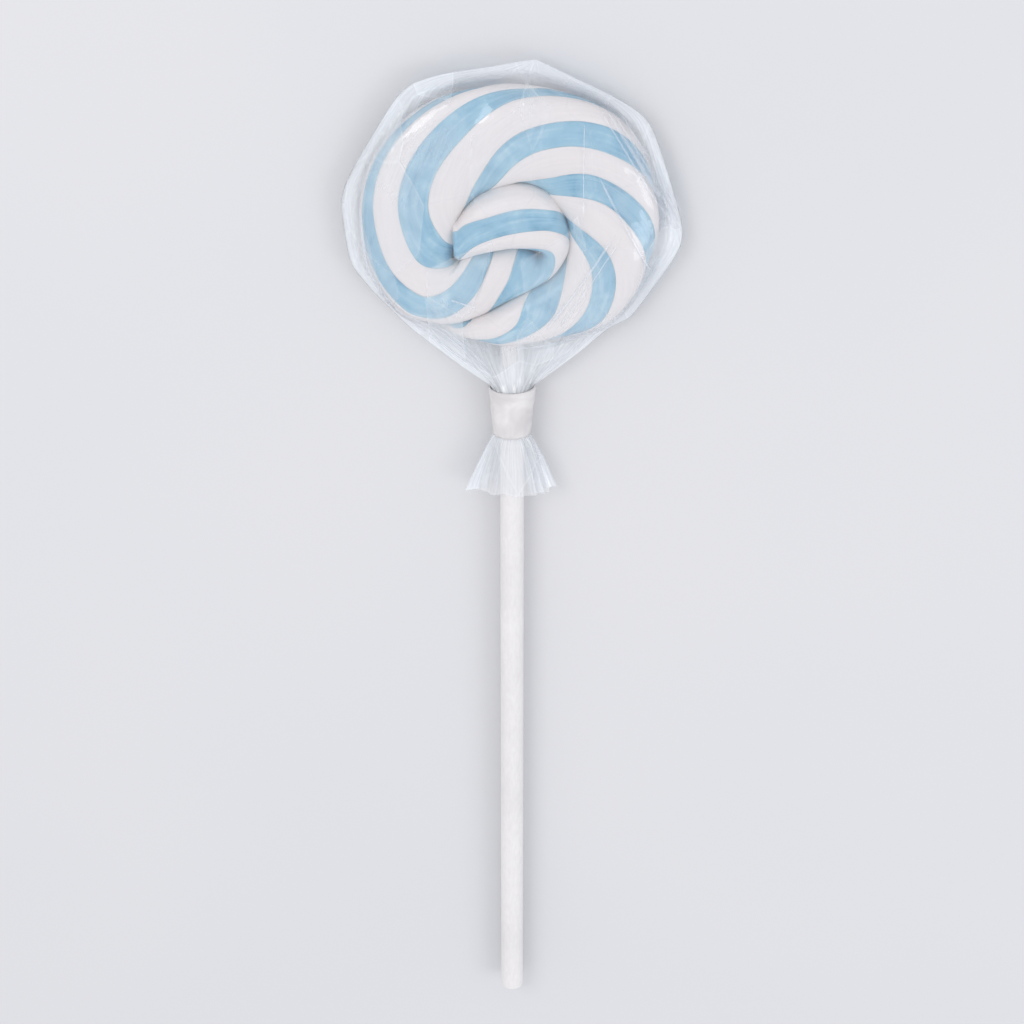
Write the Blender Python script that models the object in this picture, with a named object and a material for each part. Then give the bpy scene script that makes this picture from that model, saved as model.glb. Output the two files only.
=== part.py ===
"""Swirl lollipop lying on its back: a coiled candy rope, its stick and its gathered film wrapper.

Metres, +Z up. The flat back of the candy is at z = 0, the candy's centre is on the Z axis and
the stick points along -Y. The coil runs clockwise, seen from above, from the hook in the middle
to the tail at the bottom. Bearings on the coil are in degrees, clockwise from the left (-X).
"""
import math

import bmesh
import bpy

MM = 0.001

# ---- candy rope --------------------------------------------------------------------------
# Edge of the coil against its bearing: first the hook, then the crease between the two turns,
# then the round rim of the head. It is a little uneven, as pulled sugar is.
EDGE = [(4, 13.0), (15, 12.0), (30, 10.9), (62, 9.8), (104, 10.4), (167, 12.4), (199, 14.6),
        (229, 16.4), (256, 18.3), (270, 20.3), (286, 25.0), (303, 31.4), (320, 35.2), (345, 36.0),
        (380, 36.0), (420, 34.6), (454, 33.0), (495, 35.3), (545, 34.5), (585, 34.5),
        (604, 32.6), (622, 31.4), (640, 31.9), (672, 33.8)]
START_BEARING = 4.0
HOOK_BEARING = 190.0        # the hook ends here and the rope folds back under it
FOLD_BEARING = 262.0        # the fold is complete
RETURN_BEARING = 316.0      # the rope has come back to the hook's blunt end
BLUNT_BEARING = 346.0       # it has turned round the lower corner of the blunt end
CORNER_BEARING = 370.0      # it passes the upper corner of the blunt end
ROUND_BEARING = 394.0       # from here the rope winds evenly round the hook
TAIL_BEARING = 658.0
STEP = 12.0                 # between slices, so that slices of touching turns line up
FINE = [(220, 340), (436, 460), (580, 664)]     # the twist is fast here, so slices are half as far apart
HOOK_LEFT = -12.7           # blunt end of the hook
HOOK_RIGHT = 6.2            # tip of the slit that the fold leaves
FOLD_TOP = -6.4             # height of the slit in the plan
FOLD_DROP = 3.4             # how far the slit falls towards the blunt end
TURN_GAP = 0.34             # between turns that touch
FOLD_RADIUS = 1.0           # inside radius where the rope folds back
CORNER_GAP = 1.5            # the rope stands off the hook's blunt corner

# Height of the rope, and its twist, against the bearing.
HEIGHT = [(4, 11.4), (100, 12.6), (190, 12.0), (262, 9.8), (330, 9.8), (370, 10.8),
          (480, 11.2), (600, 11.2), (635, 11.0), (658, 7.0)]
TWIST = [(4, -208), (25, -208), (60, -208), (104, -198), (140, -180), (167, -165), (199, -148),
         (229, -138), (250, -118), (262, -103), (270, -91), (280, -71), (292, -43), (308, -7),
         (326, 12), (342, 26), (358, 43), (372, 58), (394, 77), (410, 90), (422, 103),
         (438, 126), (454, 151), (480, 188), (500, 218), (520, 254), (545, 302), (565, 340),
         (586, 364), (603, 389), (621, 420), (636, 455), (655, 500)]
# The strands lag behind the twist on the inner side, where the rope rubs on the turn inside
# it, and on the outer side, where it is stretched round the bend.
INNER_LAG = [(4, 40), (20, 20), (40, -15), (62, -30), (120, -20), (175, 20), (225, 46),
             (250, 52), (285, 54), (308, 48), (326, 40), (358, 0), (394, -40), (422, -46),
             (454, -30), (500, 0), (545, 15), (575, 12), (603, 30), (630, 42), (655, 38)]
OUTER_LAG = [(4, -50), (25, -40), (60, -18), (104, -6), (140, 0), (167, -16), (199, -22),
             (235, -22), (262, -22), (292, -12), (326, 4), (370, 34), (410, 44), (450, 33),
             (500, 27), (545, 10), (586, -8), (612, 5), (630, 15), (650, 10)]
RIBBONS = [(-5, 53), (88, 128), (170, 230), (274, 317)]     # strand angles of the white stripes
STRIPE_DEPTH = 1.15
STRIPE_PROUD = 0.35         # the white stripes stand a little proud of the blue
SEAM = 0.30
CHANNEL_DEPTH = 1.60        # the channels in the blue are a little deeper than the stripes
FLOOR_SEAM = 0.45           # the stripes narrow a little towards their floor
SECTION_POWER = 2.6         # 2 would be an ellipse

# ---- stick, film and tape ----------------------------------------------------------------
STICK_RADIUS = 3.0
STICK_Z = 5.0
STICK_TOP = -24.0           # hidden in the candy
STICK_FOOT = -226.0
BORE_RADIUS = 3.3
FILM_MARGIN = 6.3
GATHER_HALF = 24.0          # half width of the gathered film where it leaves the head
FILM_THICK = 0.6
NECK_Y = -44.0
BAND_END_Y = -56.5
SKIRT_END_Y = -72.0
NECK_TOP = (5.0, 4.2)       # half width and half height of the film's neck under the tape
NECK_END = (3.9, 3.8)
BAND_GAP = 0.3
BAND_THICK = 0.45
PLEATS = 11
RING_POINTS = 55


def clear_scene():
    for thing in list(bpy.data.objects):
        bpy.data.objects.remove(thing, do_unlink=True)


def slopes(knots):
    """Slopes for a smooth curve through the knots that never overshoots them."""
    steps = [(b[1] - a[1]) / (b[0] - a[0]) for a, b in zip(knots, knots[1:])]
    result = [steps[0]]
    for before, after in zip(steps, steps[1:]):
        result.append(0.0 if before * after <= 0 else 2 * before * after / (before + after))
    result.append(steps[-1])
    return result


def smooth(knots, where):
    if where <= knots[0][0]:
        return knots[0][1]
    if where >= knots[-1][0]:
        return knots[-1][1]
    slope = slopes(knots)
    for i, (a, b) in enumerate(zip(knots, knots[1:])):
        if where <= b[0]:
            span = b[0] - a[0]
            t = (where - a[0]) / span
            return (a[1] * (1 + 2 * t) * (1 - t) ** 2 + slope[i] * span * t * (1 - t) ** 2
                    + b[1] * t * t * (3 - 2 * t) - slope[i + 1] * span * t * t * (1 - t))


def at_bearing(bearing, radius):
    angle = math.radians(180 - bearing)
    return (radius * math.cos(angle), radius * math.sin(angle))


def fold_y(x):
    """The slit under the hook, as a shallow arc that falls towards the blunt end."""
    return FOLD_TOP - FOLD_DROP * ((x - 1.0) / 15.0) ** 2


def fold_gap(x):
    """Width of the slit: wider at the fold and at the blunt corner."""
    at_fold = (2 * FOLD_RADIUS - TURN_GAP) * math.exp((x - HOOK_RIGHT) / 2.2)
    at_corner = (CORNER_GAP - TURN_GAP) * math.exp((HOOK_LEFT - x) / 2.0)
    return TURN_GAP + at_fold + at_corner


def inner_edge(bearing):
    if bearing < HOOK_BEARING:
        x = HOOK_LEFT + (HOOK_RIGHT - HOOK_LEFT) * (bearing - START_BEARING) / (
            HOOK_BEARING - START_BEARING)
        return (x, fold_y(x))
    if bearing < FOLD_BEARING:
        turn = (bearing - HOOK_BEARING) / (FOLD_BEARING - HOOK_BEARING)
        angle = math.pi * (0.5 - turn)
        return (HOOK_RIGHT + FOLD_RADIUS * math.cos(angle),
                fold_y(HOOK_RIGHT) - FOLD_RADIUS + FOLD_RADIUS * math.sin(angle))
    if bearing < RETURN_BEARING:
        share = (bearing - FOLD_BEARING) / (RETURN_BEARING - FOLD_BEARING)
        x = HOOK_RIGHT + (HOOK_LEFT - HOOK_RIGHT) * share
        return (x, fold_y(x) - fold_gap(x))
    if bearing < BLUNT_BEARING:
        turn = (bearing - RETURN_BEARING) / (BLUNT_BEARING - RETURN_BEARING)
        angle = math.pi * (1.5 - 0.5 * turn)
        return (HOOK_LEFT + CORNER_GAP * math.cos(angle),
                fold_y(HOOK_LEFT) + CORNER_GAP * math.sin(angle))
    if bearing < CORNER_BEARING:
        low = fold_y(HOOK_LEFT)
        left, high = at_bearing(START_BEARING, smooth(EDGE, START_BEARING) + TURN_GAP)
        share = (bearing - BLUNT_BEARING) / (CORNER_BEARING - BLUNT_BEARING)
        return (HOOK_LEFT - CORNER_GAP + (left - HOOK_LEFT + CORNER_GAP) * share,
                low + (high - low) * share)
    if bearing < ROUND_BEARING:
        share = (bearing - CORNER_BEARING) / (ROUND_BEARING - CORNER_BEARING)
        start = START_BEARING + 360
        bearing = start + (ROUND_BEARING - start) * share
        bulge = 0.2 * math.sin(math.pi * share)
        return at_bearing(bearing, smooth(EDGE, bearing - 360) + TURN_GAP + bulge)
    return at_bearing(bearing, smooth(EDGE, bearing - 360) + TURN_GAP)


def signed_power(value, power):
    return math.copysign(abs(value) ** power, value)


class Section:
    """One slice of the rope, from its outer edge (0 degrees) over the top to its inner edge."""

    def __init__(self, bearing):
        outer = at_bearing(bearing, smooth(EDGE, bearing))
        inner = inner_edge(bearing)
        self.middle = ((outer[0] + inner[0]) / 2, (outer[1] + inner[1]) / 2)
        self.half = math.dist(outer, inner) / 2
        self.across = ((outer[0] - self.middle[0]) / self.half,
                       (outer[1] - self.middle[1]) / self.half)
        self.height = smooth(HEIGHT, bearing)
        self.twist = smooth(TWIST, bearing)
        self.inner_lag = smooth(INNER_LAG, bearing)
        self.outer_lag = smooth(OUTER_LAG, bearing)
        # Where the rope is slender its stripes are thinner too.
        self.slender = min(1.0, self.half / 4.0)

    def angle_of(self, strand_angle):
        """Where an angle that turns with the strands lies on this slice."""
        low, high = strand_angle - 1000, strand_angle + 1000
        for _ in range(44):
            middle = (low + high) / 2
            inner = max(0.0, 1 - abs(middle % 360 - 180) / 90)
            outer = max(0.0, 1 - abs((middle + 180) % 360 - 180) / 90)
            lag = self.inner_lag * inner + self.outer_lag * outer
            if middle + self.twist - lag < strand_angle:
                low = middle
            else:
                high = middle
        return low

    def flat(self, degrees):
        """Point of the outline in the slice: distance from the middle, and height."""
        angle = math.radians(degrees)
        power = 2 / SECTION_POWER
        over = signed_power(math.sin(angle), power)
        if over < 0:
            over *= 1.18
        return (self.half * signed_power(math.cos(angle), power),
                max(0.0, self.height / 2 * (1 + over)))

    def place(self, point):
        return (MM * (self.middle[0] + self.across[0] * point[0]),
                MM * (self.middle[1] + self.across[1] * point[0]), MM * point[1])

    def sunk(self, degrees, depth):
        """Point below the outline, in the direction of the slice's centre line."""
        x, z = self.flat(degrees)
        core = max(0.0, self.half - self.height / 2)
        aim_x = max(-core, min(core, x))
        aim_z = self.height / 2
        reach = math.hypot(x - aim_x, z - aim_z)
        share = min(depth * self.slender, reach * 0.6) / reach
        return (x + (aim_x - x) * share, z + (aim_z - z) * share)


def shift(point, towards, distance):
    reach = math.dist(point, towards)
    share = min(0.45, distance / reach)
    return (point[0] + (towards[0] - point[0]) * share, point[1] + (towards[1] - point[1]) * share)


def stripe_angles(section, stripe):
    start, end = RIBBONS[stripe]
    return [section.angle_of(start + (end - start) * share) for share in (0.0, 0.3, 0.5, 0.7, 1.0)]


def blue_slice(section):
    """The rope's outline with a channel for each white stripe."""
    points = []
    for stripe, (_, end) in enumerate(RIBBONS):
        low, *_, high = stripe_angles(section, stripe)
        gap = (RIBBONS[stripe + 1][0] if stripe + 1 < len(RIBBONS) else RIBBONS[0][0] + 360) - end
        points.append(section.flat(low))
        points.append(section.sunk(low, CHANNEL_DEPTH))
        points.append(section.sunk(high, CHANNEL_DEPTH))
        points.append(section.flat(high))
        for share in (0.33, 0.67):
            points.append(section.flat(section.angle_of(end + gap * share)))
    return [section.place(point) for point in points]


def crown(section, degrees):
    x, z = section.flat(degrees)
    return (x, z + STRIPE_PROUD * max(0.0, math.sin(math.radians(degrees))) ** 1.5)


def white_slice(section, stripe):
    low, early, middle, late, high = stripe_angles(section, stripe)
    left = section.flat(low)
    right = section.flat(high)
    left_floor = section.sunk(low, STRIPE_DEPTH)
    right_floor = section.sunk(high, STRIPE_DEPTH)
    points = [shift(left, right, SEAM), crown(section, early), crown(section, middle),
              crown(section, late), shift(right, left, SEAM),
              shift(right_floor, left_floor, FLOOR_SEAM), shift(left_floor, right_floor, FLOOR_SEAM)]
    return [section.place(point) for point in points]


def material(name, colour, roughness, metallic=0.0):
    made = bpy.data.materials.new(name)
    made.use_nodes = True
    shader = made.node_tree.nodes["Principled BSDF"]
    shader.inputs["Base Color"].default_value = (*colour, 1)
    shader.inputs["Roughness"].default_value = roughness
    shader.inputs["Metallic"].default_value = metallic
    made.diffuse_color = (*colour, 1)
    return made


def loft(name, rings, looks, cap_style="face", other_way=()):
    """Closed body through rings of equal length, with a cap on each end.

    The columns in other_way are split along their other diagonal.
    """
    mesh = bmesh.new()
    rows = [[mesh.verts.new(point) for point in ring] for ring in rings]
    count = len(rings[0])
    for before, after in zip(rows, rows[1:]):
        for i in range(count):
            j = (i + 1) % count
            if i in other_way:
                mesh.faces.new((before[i], before[j], after[i]))
                mesh.faces.new((before[j], after[j], after[i]))
            else:
                mesh.faces.new((before[i], before[j], after[j]))
                mesh.faces.new((before[i], after[j], after[i]))
    for row in (rows[0][::-1], rows[-1]):
        if cap_style == "face":
            mesh.faces.new(row)
            continue
        # The ring starts at one side, so a cap is zipped from that side to the other.
        half = count // 2
        for i in range(half):
            corners = [row[i], row[i + 1], row[(count - i - 1) % count], row[(count - i) % count]]
            unique = list(dict.fromkeys(corners))
            mesh.faces.new(unique)
    mesh.normal_update()
    bmesh.ops.triangulate(mesh, faces=mesh.faces[:])
    bmesh.ops.recalc_face_normals(mesh, faces=mesh.faces[:])
    data = bpy.data.meshes.new(name)
    mesh.to_mesh(data)
    mesh.free()
    data.shade_smooth()
    thing = bpy.data.objects.new(name, data)
    bpy.context.collection.objects.link(thing)
    data.materials.append(looks)
    return thing


def boolean(thing, other, operation):
    step = thing.modifiers.new(operation.lower(), "BOOLEAN")
    step.operation = operation
    step.solver = "EXACT"
    step.object = other
    other.hide_render = True
    other.display_type = "WIRE"


def rod(name, radius, start, end, looks, sides=28):
    rings = []
    for y in (start, end):
        rings.append([(MM * radius * math.cos(2 * math.pi * k / sides), MM * y,
                       MM * (STICK_Z + radius * math.sin(2 * math.pi * k / sides)))
                      for k in range(sides)])
    return loft(name, rings, looks)


def slice_bearings():
    bearings = [START_BEARING]
    while bearings[-1] < TAIL_BEARING:
        here = bearings[-1]
        fine = any(low <= here < high for low, high in FINE)
        bearings.append(here + (STEP / 2 if fine else STEP))
    return bearings


def build_candy(white, blue):
    sections = [Section(bearing) for bearing in slice_bearings()]
    body = loft("blue_rope", [blue_slice(section) for section in sections], blue)
    stripes = []
    for stripe in range(len(RIBBONS)):
        stripes.append(loft("white_stripe_%d" % (stripe + 1),
                            [white_slice(section, stripe) for section in sections], white,
                            other_way=(4, 5, 6)))
    return body, stripes


def rim_radius(bearing):
    """Outline of the head, where the tail of the rope meets the turn above it too."""
    bearing = (bearing - 300) % 360 + 300
    if bearing < 320:
        return max(smooth(EDGE, bearing), smooth(EDGE, min(668, bearing + 360)))
    return smooth(EDGE, bearing)


def rim_y(x):
    """The lower rim of the head at a given x."""
    low, high = 555.0, 665.0
    for _ in range(40):
        middle = (low + high) / 2
        if at_bearing(middle, smooth(EDGE, middle))[0] > x:
            low = middle
        else:
            high = middle
    return at_bearing(low, smooth(EDGE, low))[1]


def film_ring(radius_x, radius_z, depth, y_of):
    """One ring of the gathered film round the stick: an oval with folds of the given depth."""
    ring = []
    for k in range(RING_POINTS):
        angle = 2 * math.pi * k / RING_POINTS
        uneven = 0.65 + 0.35 * math.sin(3 * angle + 0.4)
        fold = 1 + depth * math.sin(PLEATS * angle + 0.9) * uneven
        x = radius_x * math.cos(angle) * fold
        z = STICK_Z + radius_z * math.sin(angle) * fold
        ring.append((MM * x, MM * y_of(x), MM * max(0.05, z)))
    return ring


def gathered_film(film):
    """Film drawn in from the rim of the candy to the neck, then flaring into a skirt."""
    rings = []
    for share in (0.0, 0.18, 0.4, 0.65, 1.0):
        draw = share ** 0.8
        rings.append(film_ring(
            GATHER_HALF * (1 - draw) + NECK_TOP[0] * draw,
            3.4 * (1 - draw) + NECK_TOP[1] * draw, 0.13 * math.sin(math.pi * share) ** 0.6,
            lambda x, s=share: (rim_y(x) - 0.4) * (1 - s) + NECK_Y * s))
    skirt = SKIRT_END_Y - BAND_END_Y
    for share, wide, deep, fold in (
            (0.0, *NECK_END, 0.0), (0.25, 5.6, 4.2, 0.08),
            (0.6, 8.2, 4.3, 0.13), (1.0, 10.5, 4.4, 0.16),
            # The open end turns in to the inner face of the film.
            (1.0, 9.5, 3.7, 0.16), (0.6, 7.2, 3.6, 0.13), (0.3, 3.7, 3.5, 0.0)):
        rings.append(film_ring(wide, deep, fold, lambda x, s=share: BAND_END_Y + skirt * s))
    return loft("wrapper", rings, film, "zip")


def ring_body(name, rows, looks):
    """Closed body from four rows of points that go all the way round."""
    mesh = bmesh.new()
    made = [[mesh.verts.new(point) for point in row] for row in rows]
    count = len(rows[0])
    for r in range(len(rows)):
        here, there = made[r], made[(r + 1) % len(rows)]
        for i in range(count):
            j = (i + 1) % count
            mesh.faces.new((here[i], here[j], there[j], there[i]))
    mesh.normal_update()
    bmesh.ops.triangulate(mesh, faces=mesh.faces[:])
    bmesh.ops.recalc_face_normals(mesh, faces=mesh.faces[:])
    data = bpy.data.meshes.new(name)
    mesh.to_mesh(data)
    mesh.free()
    data.shade_smooth()
    thing = bpy.data.objects.new(name, data)
    bpy.context.collection.objects.link(thing)
    data.materials.append(looks)
    return thing


def film_margin(film):
    """The film's sealed margin, all round the head, wavy at its free edge."""
    count = 54
    rows = [[], [], [], []]
    for k in range(count):
        bearing = 300 + 360 * k / count
        rim = rim_radius(bearing)
        turn = math.radians(bearing)
        wave = 0.5 * math.sin(5 * turn) + 0.35 * math.sin(9 * turn + 1)
        # The margin narrows where it runs into the gathered film at the bottom.
        down = max(0.0, math.cos(turn - math.radians(270))) ** 6
        edge = rim + (FILM_MARGIN + 0.5 * wave) * (1 - 0.5 * down)
        level = STICK_Z + 0.3 * wave * (1 - down)
        half = FILM_THICK / 2
        for row, radius, height in ((0, rim + 0.6, STICK_Z - half), (1, edge, level - half),
                                    (2, edge, level + half), (3, rim + 0.6, STICK_Z + half)):
            x, y = at_bearing(bearing, radius)
            rows[row].append((MM * x, MM * y, MM * height))
    return ring_body("film_margin", rows, film)


def build_wrapper(film):
    wrapper = gathered_film(film)
    boolean(wrapper, film_margin(film), "UNION")
    return wrapper


def build_band(tape):
    sides = 32
    rows = []
    for y, neck, grow in ((NECK_Y, NECK_TOP, BAND_GAP), (NECK_Y, NECK_TOP, BAND_GAP + BAND_THICK),
                          (BAND_END_Y, NECK_END, BAND_GAP + BAND_THICK),
                          (BAND_END_Y, NECK_END, BAND_GAP)):
        turns = [2 * math.pi * k / sides for k in range(sides)]
        rows.append([(MM * (neck[0] + grow) * math.cos(turn), MM * y,
                      MM * (STICK_Z + (neck[1] + grow) * math.sin(turn))) for turn in turns])
    return ring_body("tape_band", rows, tape)


def main():
    clear_scene()
    white = material("white_sugar", (0.86, 0.82, 0.80), 0.3)
    blue = material("blue_sugar", (0.35, 0.60, 0.75), 0.2)
    paper = material("rolled_paper", (0.86, 0.85, 0.82), 0.7)
    film = material("clear_film", (0.80, 0.81, 0.86), 0.15)
    tape = material("frosted_tape", (0.84, 0.84, 0.87), 0.5)
    body, stripes = build_candy(white, blue)
    rod("stick", STICK_RADIUS, STICK_TOP, STICK_FOOT, paper)
    wrapper = build_wrapper(film)
    build_band(tape)
    bore = rod("bore_cutter", BORE_RADIUS, STICK_TOP + 0.3, -120.0, paper)
    for thing in (body, stripes[0], stripes[1], stripes[2], wrapper):
        boolean(thing, bore, "DIFFERENCE")


main()
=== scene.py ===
# %% [markdown]
# # A swirl lollipop in clear film
# The real thing is a rope of boiled sugar, twisted from white and pale blue strands, coiled flat
# on a paper stick and tied up in a clear film bag. It lies on its back here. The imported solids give
# every size and place. This lesson dresses them: each piece is built around its solid, from the
# same named sizes, and then gets a material that is named for what the real one is made of.

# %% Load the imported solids
import math

import bmesh
import bpy
import numpy as np
from mathutils import Matrix, Vector


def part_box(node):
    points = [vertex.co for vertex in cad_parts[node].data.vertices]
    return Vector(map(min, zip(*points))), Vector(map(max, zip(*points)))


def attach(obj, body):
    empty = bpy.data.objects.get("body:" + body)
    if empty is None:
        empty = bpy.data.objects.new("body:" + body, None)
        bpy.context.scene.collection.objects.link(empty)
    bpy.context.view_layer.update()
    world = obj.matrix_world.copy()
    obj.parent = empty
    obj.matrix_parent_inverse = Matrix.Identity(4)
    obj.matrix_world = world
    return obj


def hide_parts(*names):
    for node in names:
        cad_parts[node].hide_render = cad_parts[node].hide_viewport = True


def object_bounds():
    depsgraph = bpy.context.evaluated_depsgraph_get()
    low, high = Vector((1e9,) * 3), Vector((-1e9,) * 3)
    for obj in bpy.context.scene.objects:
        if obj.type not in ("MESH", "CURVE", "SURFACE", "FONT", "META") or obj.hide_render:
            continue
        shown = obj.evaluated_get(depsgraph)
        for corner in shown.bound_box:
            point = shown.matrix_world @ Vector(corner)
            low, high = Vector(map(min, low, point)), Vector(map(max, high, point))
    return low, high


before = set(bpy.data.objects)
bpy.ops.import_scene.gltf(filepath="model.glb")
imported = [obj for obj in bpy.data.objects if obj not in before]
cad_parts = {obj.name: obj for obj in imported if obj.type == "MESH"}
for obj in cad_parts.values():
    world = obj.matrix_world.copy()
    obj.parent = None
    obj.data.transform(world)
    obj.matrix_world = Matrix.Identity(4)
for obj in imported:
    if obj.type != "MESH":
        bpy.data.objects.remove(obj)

MM = 0.001
cad_low, cad_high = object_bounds()
print("solids:", sorted(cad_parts), "box in mm:",
      [round(side / MM, 1) for side in cad_high - cad_low])

# %% [markdown]
# ## Helpers
# Most sizes of the rope change slowly along its length. Such a size is given by a few knots and a
# smooth curve through them that never overshoots, so a bulge stays where it was put. Meshes are
# lofts: rows of points, joined row to row, which is how pulled sugar, film and paper are shaped.

# %% Smooth curves
def through(knots, where):
    """Smooth curve through (place, value) knots, read at an array of places."""
    at, value = np.array(knots, float).T
    step = np.diff(value) / np.diff(at)
    before, after = step[:-1], step[1:]
    total = np.where(before * after > 0, before + after, 1.0)
    inner = np.where(before * after > 0, 2 * before * after / total, 0.0)
    slope = np.concatenate(([step[0]], inner, [step[-1]]))
    where = np.clip(where, at[0], at[-1])
    i = np.clip(np.searchsorted(at, where, side="right") - 1, 0, len(at) - 2)
    span = at[i + 1] - at[i]
    t = (where - at[i]) / span
    return (value[i] * (1 + 2 * t) * (1 - t) ** 2 + slope[i] * span * t * (1 - t) ** 2
            + value[i + 1] * t * t * (3 - 2 * t) - slope[i + 1] * span * t * t * (1 - t))


def softened(values, width):
    """The same row of values with its corners rounded by a bell of that width, in samples."""
    count = int(3 * width)
    bell = np.exp(-0.5 * (np.arange(-count, count + 1) / width) ** 2)
    padded = np.pad(values, count, mode="edge")
    return np.convolve(padded, bell / bell.sum(), mode="valid")


def softened_line(points, width):
    """The same row of points, softened in each direction."""
    return np.stack([softened(column, width) for column in np.transpose(points)], axis=1)


# %% Lofts
def placed_mesh(name, mesh):
    """Puts a mesh into the scene, shaded smooth."""
    mesh.shade_smooth()
    thing = bpy.data.objects.new(name, mesh)
    bpy.context.scene.collection.objects.link(thing)
    return thing


def loft(name, rows, around=True, caps=True):
    """Mesh object through rows of points in millimetres."""
    rows = np.asarray(rows, float)
    lines, count = rows.shape[:2]
    here = np.arange(lines * count).reshape(lines, count)
    there = np.roll(here, -1, axis=1)
    last = count if around else count - 1
    quads = np.stack([here[:-1, :last], there[:-1, :last], there[1:, :last], here[1:, :last]],
                     axis=-1).reshape(-1, 4)
    faces = quads.tolist()
    if caps:
        faces += [here[0, ::-1].tolist(), here[-1].tolist()]
    mesh = bpy.data.meshes.new(name)
    mesh.from_pydata((rows.reshape(-1, 3) * MM).tolist(), [], faces)
    mesh.validate()
    return placed_mesh(name, mesh)


def outward(thing):
    """Turns every face to the outside."""
    work = bmesh.new()
    work.from_mesh(thing.data)
    bmesh.ops.recalc_face_normals(work, faces=work.faces[:])
    work.to_mesh(thing.data)
    work.free()
    return thing


# %% Notes for the materials
def note_grain(thing, across_it, along_it):
    """Keeps how far each point lies across and along its strand or sheet, in millimetres."""
    flow = np.stack(np.broadcast_arrays(across_it, along_it, 0.0), axis=-1)
    layer = thing.data.attributes.new("grain", "FLOAT_VECTOR", "POINT")
    layer.data.foreach_set("vector", flow.astype(np.float32).ravel())


def note_haze_and_painted_light(thing, values):
    """Keeps how cloudy the film is at each point, its painted sheen and painted light included."""
    layer = thing.data.attributes.new("haze_and_painted_light", "FLOAT", "POINT")
    layer.data.foreach_set("value", np.asarray(values, np.float32).ravel())


def dress(thing, look, slot, *nodes):
    """Gives a piece its material, hangs it on the root and hides the solids that it stands for."""
    thing.data.materials.append(look)
    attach(thing, "root")
    if nodes:
        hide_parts(*nodes)
    print(thing.name, "has", len(thing.data.polygons), "faces")


# %% [markdown]
# ## Colours and nodes
# Colours are written as sRGB hex, as a colour picker shows them, and one function turns them
# linear. One more function adds a node with its settings and links: a socket takes a number, a
# colour, another node's output, or a node, which then stands for its first output. Both keep the
# material functions below short enough to read as recipes. A pattern's scale is the number of its
# cells in one unit, so each one is worked out from a real size: a unit is a metre in an object's
# own coordinates, and a millimetre along the grain.

# %% Colour and node helpers
def linear(code):
    """An sRGB hex colour as the linear numbers that a shader needs."""
    parts = [int(code[i:i + 2], 16) / 255 for i in (1, 3, 5)]
    return (*[c / 12.92 if c <= 0.04045 else ((c + 0.055) / 1.055) ** 2.4 for c in parts], 1.0)


def per_metre(size):
    """How many cells of a pattern lie in a metre when one is so many millimetres wide."""
    return 1 / (size * MM)


def new_material(name):
    made = bpy.data.materials.new(name)
    made.use_nodes = True
    made.node_tree.nodes.clear()
    return made, made.node_tree


def add(tree, kind, sockets=None, stops=(), **settings):
    """Adds a node. Stops are the places and hex colours of a ramp."""
    node = tree.nodes.new("ShaderNode" + kind)
    for key, value in settings.items():
        setattr(node, key, value)
    for key, value in (sockets or {}).items():
        if isinstance(value, bpy.types.Node):
            value = value.outputs[0]
        if isinstance(value, bpy.types.NodeSocket):
            tree.links.new(value, node.inputs[key])
        else:
            node.inputs[key].default_value = value
    for place, (where, colour) in enumerate(stops):
        ramp = node.color_ramp.elements
        stop = ramp[place] if place < len(ramp) else ramp.new(where)
        stop.position = where
        stop.color = linear(colour)
    return node


def finished(made, shader):
    """The material, with its last shader joined to the output."""
    add(made.node_tree, "OutputMaterial", {"Surface": shader})
    return made


print("a mid grey as a shader sees it:", round(linear("#808080")[0], 3))


# %% [markdown]
# ## The rope's sizes
# The coil is drawn on a fan of lines. Each line starts on the coil's inner edge and ends on its
# outer edge, and its bearing counts degrees clockwise from the left, for nearly two turns: first
# the short hook in the middle, then the fold under it, then the big outer turn. These are the
# solids' own sizes. The gaps between touching turns are closed here, because real turns fuse.

# %% Sizes of the coil
# bearings, each with the coil's outer radius there
EDGE = [(4, 13.0), (15, 12.0), (30, 10.9), (62, 9.8), (104, 10.4), (167, 12.4), (199, 14.6),
        (229, 16.4), (256, 18.3), (270, 20.3), (286, 25.0), (303, 31.4), (320, 35.2), (345, 36.0),
        (380, 36.0), (420, 34.6), (454, 33.0), (495, 35.3), (545, 34.5), (585, 34.5),
        (604, 32.6), (622, 31.4), (640, 31.9), (672, 33.8)]
# bearings where each stretch of the inner edge starts or ends
START, HOOK, FOLD, RETURN, BLUNT = 4.0, 190.0, 262.0, 316.0, 346.0
CORNER, ROUND, TAIL = 370.0, 394.0, 658.0
HOOK_LEFT, HOOK_RIGHT = -12.7, 6.2      # x of the slit's ends
SLIT_TOP, SLIT_DROP = -6.4, 3.4     # the slit's highest y, and its fall at its reach
SLIT_MIDDLE, SLIT_REACH = 1.0, 15.0
FOLD_RADIUS, CORNER_GAP = 1.0, 1.5
PIT_FADE, PIT_REACH = 2.2, 6.0      # the pit beside the fold narrows, then closes
FUSE = 0.30                 # touching turns run this far into each other
# bearings, each with the rope's height there
HEIGHT = [(4, 11.4), (100, 12.6), (190, 12.0), (262, 9.8), (330, 9.8), (370, 10.8),
          (480, 11.2), (600, 11.2), (635, 11.0), (658, 7.0)]
SECTION_POWER = 2.6         # 2 would be an ellipse
SLICE = 1.5                 # degrees between slices
INNER_SOFT = 2.0            # corners of the inner edge are rounded over so many slices


def at_bearing(bearing, radius):
    turn = np.radians(180 - np.asarray(bearing, float))
    return np.stack([radius * np.cos(turn), radius * np.sin(turn)], axis=-1)


def edge(bearing):
    return through(EDGE, np.asarray(bearing, float))


def slit_y(x):
    """The slit under the hook is a shallow arc that falls towards the blunt end."""
    return SLIT_TOP - SLIT_DROP * ((x - SLIT_MIDDLE) / SLIT_REACH) ** 2


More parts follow.
